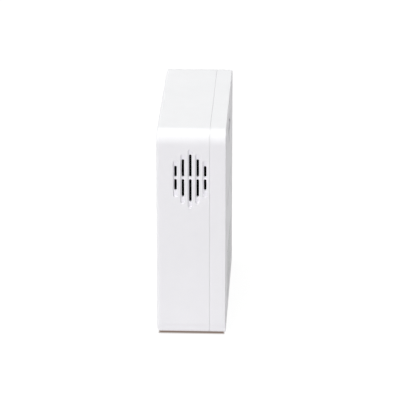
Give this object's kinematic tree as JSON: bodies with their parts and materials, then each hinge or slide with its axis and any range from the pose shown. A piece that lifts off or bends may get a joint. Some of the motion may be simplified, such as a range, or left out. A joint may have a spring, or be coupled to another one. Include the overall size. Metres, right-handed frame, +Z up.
{
  "type": "carbon monoxide detector",
  "caption": "Square battery carbon monoxide alarm in a two-part white case, with a sound grille in one side and a hinged battery door at the back.",
  "frame": {"origin": "centre of the bottom face, which the alarm stands on", "axes": "+X across the width, towards the side with the sound grille; -Y out of the front face and +Y out of the back; +Z up"},
  "size_m": [0.118, 0.0376, 0.118],
  "materials": {
    "shell_white": "fine satin moulded ABS",
    "door_white": "fine satin moulded ABS",
    "button_white": "satin moulded ABS",
    "screw_steel": "zinc plated",
    "label": "blank silver-grey film",
    "black_plastic": "matt",
    "clear_acrylic": "clear polished",
    "led_green": "tinted lens",
    "led_amber": "tinted lens",
    "led_red": "tinted lens",
    "filter_mesh": "woven dust mesh",
    "cell_sleeve": "plain printed foil sleeve",
    "contact_nickel": "nickel plated spring steel",
    "wire_red": "insulated wire",
    "wire_black": "insulated wire",
    "board_green": "solder mask",
    "ferrite": "matt ferrite",
    "capacitor_can": "bare can",
    "socket_white": "nylon",
    "sensor_steel": "drawn stainless can",
    "piezo_brass": "rolled sheet",
    "piezo_ceramic": "silvered",
    "black_foam": "closed-cell foam"
  },
  "bodies": {
    "case": {"front_shell": "shell_white", "back_cover": "shell_white", "case_screw_1": "screw_steel", "case_screw_2": "screw_steel", "case_screw_3": "screw_steel", "case_screw_4": "screw_steel", "rating_label": "label", "switch_body": "black_plastic", "light_pipe": "clear_acrylic", "led_power": "led_green", "led_fault": "led_amber", "led_alarm": "led_red", "inlet_filter": "filter_mesh", "cell_lower": "cell_sleeve", "cell_upper": "cell_sleeve", "contact_bridge": "contact_nickel", "contact_negative": "contact_nickel", "contact_positive": "contact_nickel", "spring_lower": "contact_nickel", "spring_upper": "contact_nickel", "lead_negative": "wire_black", "lead_positive": "wire_red", "circuit_board": "board_green", "board_screw_1": "screw_steel", "board_screw_2": "screw_steel", "board_screw_3": "screw_steel", "board_screw_4": "screw_steel", "controller_chip": "black_plastic", "boost_inductor": "ferrite", "capacitor_1": "capacitor_can", "capacitor_2": "capacitor_can", "service_socket": "socket_white", "sensor_can": "sensor_steel", "sensor_cap": "black_plastic", "sensor_saddle": "black_plastic", "sounder_housing": "black_plastic", "piezo_plate": "piezo_brass", "piezo_ceramic": "piezo_ceramic", "sounder_ring": "black_plastic", "sounder_gasket": "black_foam", "sounder_mesh": "filter_mesh", "sounder_lead_live": "wire_red", "sounder_lead_common": "wire_black"},
    "door": {"battery_door": "door_white"},
    "button": {"test_button": "button_white"},
    "plunger": {"switch_plunger": "black_plastic"}
  },
  "joints": [
    {"name": "door_hinge", "type": "hinge", "parent": "case", "child": "door", "pos_m": [0, 0.017, 0.06725], "axis": [-1, 0, 0], "range_deg": [0, 90]},
    {"name": "button_press", "type": "slide", "parent": "case", "child": "button", "axis": [0, 1, 0], "range_m": [0, 0.0008], "stiffness_N_per_m": 1500, "springref_m": -0.0002},
    {"name": "switch_travel", "type": "slide", "parent": "case", "child": "plunger", "axis": [0, 1, 0], "range_m": [0, 0.001]}
  ],
  "couplings": [
    {"joint": "switch_travel", "follows": "button_press", "ratio": 1}
  ]
}
